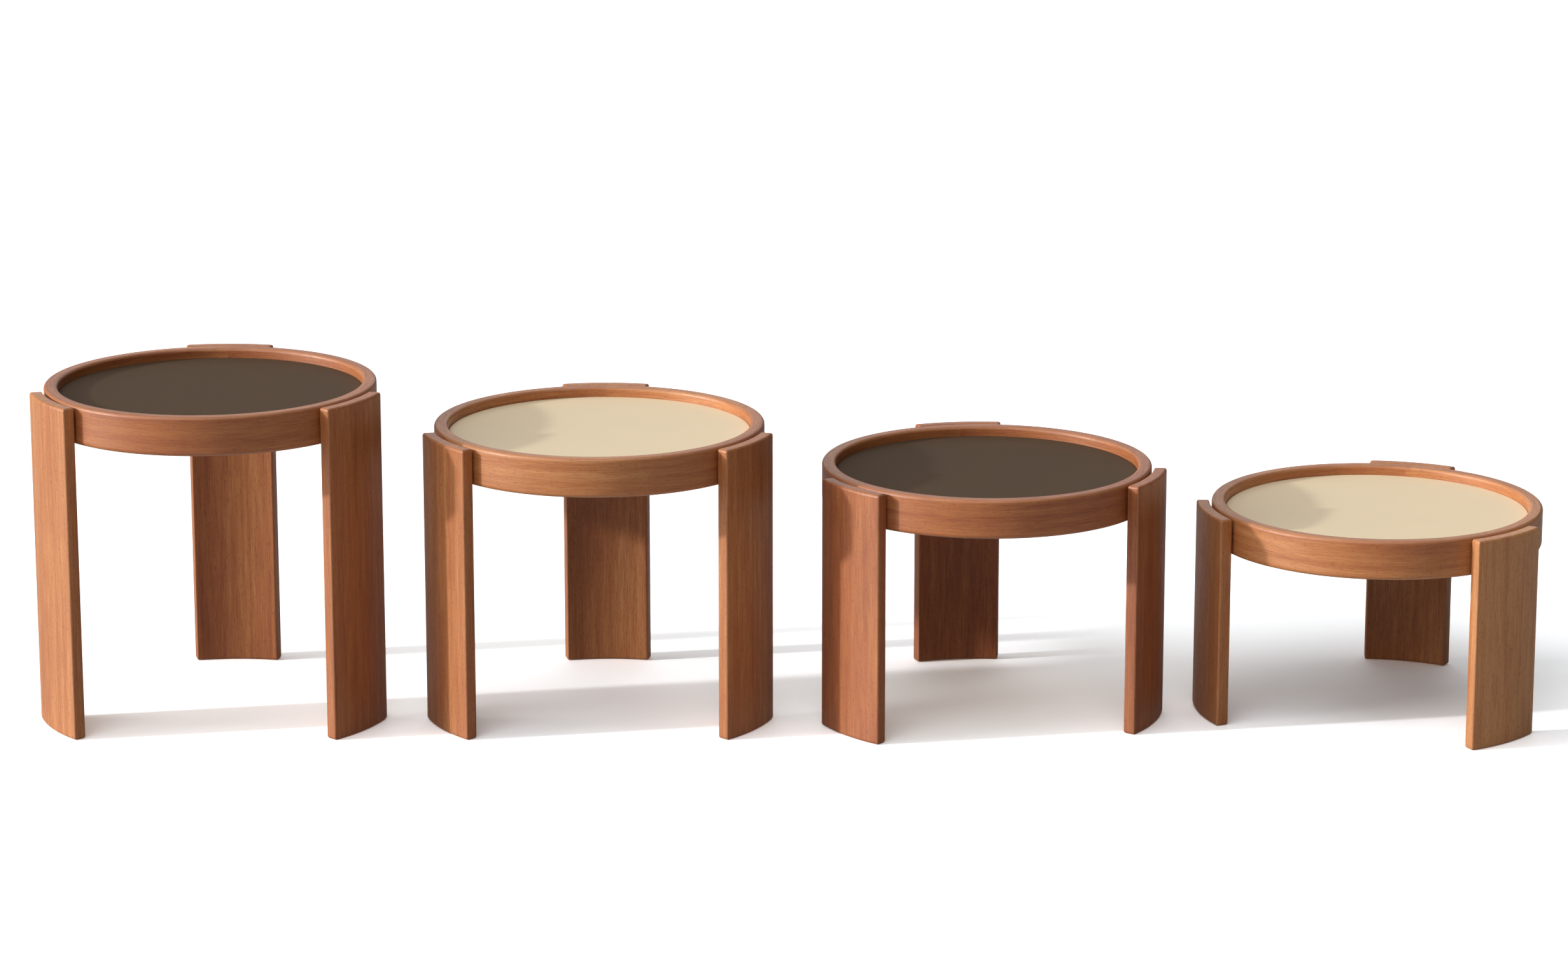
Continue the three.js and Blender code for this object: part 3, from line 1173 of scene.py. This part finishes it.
# %% Each piece in its place
def settle(piece, node, body, material):
    """Gives a finished piece its material and its place on the frame."""
    shade(piece)
    piece.data.materials.clear()
    piece.data.materials.append(material)
    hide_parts(node)
    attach(piece, body)


TOP_FINISHES = {
    "core": ("panel_core", PLYWOOD),
    "dark_face": ("dark_laminate", DARK_SHEET),
    "cream_face": ("cream_laminate", CREAM_SHEET),
}

for table in TABLES:
    frame_body = f"{table}_frame"
    settle(hoops[table], f"{table}_hoop", frame_body, STAINED_WOOD)
    settle(ledges[table], f"{table}_ledge", frame_body, STAINED_WOOD)
    for side in SIDES:
        settle(legs[table, side], f"{table}_leg_{side}", frame_body, STAINED_WOOD)
    for name in SCREWS:
        settle(screws[table, name], f"{table}_screw_{name}", frame_body, PLATED_STEEL)
    for layer, (slot, material) in TOP_FINISHES.items():
        settle(tops[table, layer], f"{table}_top_{layer}", f"{table}_top", material)

# %% [markdown]
# ## The floor
#
# The tables stand on a white studio floor that is bright enough to vanish
# except where their shadows fall. A floor of ordinary white would throw too much
# light back up, so it is white to the eye of the camera and duller to the light
# that bounces. From below it is clear, and it lets the light of a lamp under it
# through, so that the undersides and the feet can be seen.

# %% Pale floor
FLOOR_SIZE = 120.0
FLOOR_GAP = 0.00005  # below the feet
FLOOR_SEEN = (1.80, 1.84, 1.87, 1)  # a cool white, which the warm bounce off the wood evens out
FLOOR_BOUNCE = (0.42, 0.42, 0.42, 1)


def floor_material():
    material = bpy.data.materials.new("Studio floor")
    material.use_nodes = True
    tree = material.node_tree
    tree.nodes.clear()
    path = add_node(tree, "ShaderNodeLightPath")
    seen, shadow = path.outputs["Is Camera Ray"], path.outputs["Is Shadow Ray"]
    below = add_node(tree, "ShaderNodeNewGeometry").outputs["Backfacing"]
    white = mix_colour(tree, seen, FLOOR_BOUNCE, FLOOR_SEEN)
    paper = add_node(tree, "ShaderNodeBsdfDiffuse", {"Color": white}).outputs[0]
    clear = add_node(tree, "ShaderNodeBsdfTransparent").outputs[0]
    hidden = calculate(tree, "MAXIMUM", calculate(tree, "MULTIPLY", below, seen), shadow)
    surface = add_node(tree, "ShaderNodeMixShader", {0: hidden, 1: paper, 2: clear}).outputs[0]
    add_node(tree, "ShaderNodeOutputMaterial", {"Surface": surface})
    return material


def studio_floor():
    half = FLOOR_SIZE / 2
    corners = [(-half, -half, 0), (half, -half, 0), (half, half, 0), (-half, half, 0)]
    mesh = bpy.data.meshes.new("studio_floor")
    mesh.from_pydata(corners, [], [(0, 1, 2, 3)])
    floor = bpy.data.objects.new("studio_floor", mesh)
    floor.location.z = cad_low.z - FLOOR_GAP
    floor.data.materials.append(floor_material())
    bpy.context.scene.collection.objects.link(floor)
    floor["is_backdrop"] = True
    return floor


floor = studio_floor()
print("floor at height", floor.location.z)

# %% [markdown]
# ## The light
#
# The studio is lit from the left, low and a little in front of the row. A small
# lamp draws the edges of the shadows and a broad one beside it fades them with
# distance, as a window with the sun near it does. Weak lamps fill in from the
# front, from above and from behind, and one from under the floor.
#
# Each lamp is a Sun, because a far lamp lights the whole row evenly. A Sun's
# angle is how wide the lamp looks, and so how soft its shadows are. The white
# world is only a backdrop, and gives very little light of its own.

# %% Lamps and backdrop
LAMPS = [
    # name, turn of its light from the row's length, height, width, strength
    ("window_edge", 11.2, 16.0, 1.8, 0.64),
    ("window_glow", 10.0, 15.0, 34.0, 0.64),
    ("front_fill", 66.0, 42.0, 60.0, 0.28),
    ("ceiling_fill", 0.0, 90.0, 90.0, 0.26),
    ("back_fill", 270.0, 25.0, 45.0, 0.12),
    ("under_fill", 0.0, -90.0, 60.0, 0.10),
]
FULL_SUN = math.pi  # a Sun this strong shows a white sheet that faces it as plain white
BACKDROP_LIGHT = 0.02


def studio_lamp(name, turn, height, width, strength):
    """A far lamp. Turn, height and width are in degrees."""
    lamp = bpy.data.lights.new(name, "SUN")
    lamp.energy = FULL_SUN * strength
    lamp.angle = math.radians(width)
    flat, rise = math.radians(turn), math.radians(height)
    travel = Vector((math.cos(flat) * math.cos(rise), math.sin(flat) * math.cos(rise), -math.sin(rise)))
    placed = bpy.data.objects.new(name, lamp)
    placed.rotation_euler = travel.to_track_quat("-Z", "Y").to_euler()
    bpy.context.scene.collection.objects.link(placed)


def white_backdrop():
    world = bpy.data.worlds.new("white_backdrop")
    world.use_nodes = True
    tree = world.node_tree
    background = tree.nodes["Background"]
    seen = add_node(tree, "ShaderNodeLightPath").outputs["Is Camera Ray"]
    strength = remap(tree, seen, 0.0, 1.0, BACKDROP_LIGHT, 1.0)
    tree.links.new(strength, background.inputs["Strength"])
    background.inputs["Color"].default_value = (1, 1, 1, 1)
    bpy.context.scene.world = world


for lamp in LAMPS:
    studio_lamp(*lamp)
white_backdrop()
bpy.context.scene.view_settings.view_transform = "Standard"
print(len(LAMPS), "lamps")

# %% [markdown]
# ## The camera
#
# The row is seen from the front with a long lens, from a little above, so the
# uprights stay almost parallel. The camera stands on the middle of the row and
# leans down by a fixed angle.

# %% Camera
CAMERA_LENS = 111.26
CAMERA_DISTANCE = 5.491  # in front of the tables' axes
CAMERA_HEIGHT = 1.6191
CAMERA_LEAN = 13.79  # degrees below level
CAMERA_OFFSET = -0.0085  # from the middle of the row


def studio_camera():
    camera = bpy.data.objects.new("camera", bpy.data.cameras.new("camera"))
    camera.data.lens = CAMERA_LENS
    camera.data.clip_end = FLOOR_SIZE
    row_depth = AXES["tallest"][1]
    camera.location = (CAMERA_OFFSET, row_depth - CAMERA_DISTANCE, CAMERA_HEIGHT)
    camera.rotation_euler = (math.radians(90 - CAMERA_LEAN), 0, 0)
    bpy.context.scene.collection.objects.link(camera)
    bpy.context.scene.camera = camera
    return camera


camera = studio_camera()
print("camera at", [round(place, 3) for place in camera.location])

# %% Compare the two boxes
low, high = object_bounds()
sizes = {
    "cad": [list(cad_low), list(cad_high)],
    "visual": [list(low), list(high)],
}
overhangs = [*(cad_low - low), *(high - cad_high)]
print("outside the CAD box by, in mm:", [round(max(0, size) * 1000, 3) for size in overhangs])
